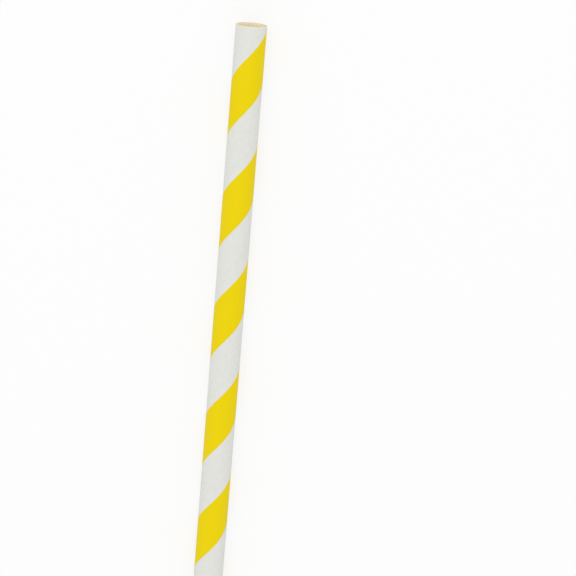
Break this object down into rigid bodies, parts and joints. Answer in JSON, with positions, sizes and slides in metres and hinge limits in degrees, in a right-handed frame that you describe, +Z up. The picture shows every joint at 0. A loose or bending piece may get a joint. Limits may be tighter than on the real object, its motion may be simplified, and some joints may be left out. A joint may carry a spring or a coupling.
{
  "type": "paper drinking straw",
  "caption": "Spirally wound paper drinking straw with a yellow and white helical stripe, lying on its side.",
  "frame": {"origin": "middle of the straw's length, on the surface that it lies on", "axes": "+X along the straw towards its top end, +Z up"},
  "size_m": [0.197, 0.006, 0.006],
  "materials": {
    "paper": "smooth, slightly satin coated paper, printed with a yellow helical stripe on white"
  },
  "bodies": {
    "root": {"straw": "paper"}
  },
  "joints": []
}
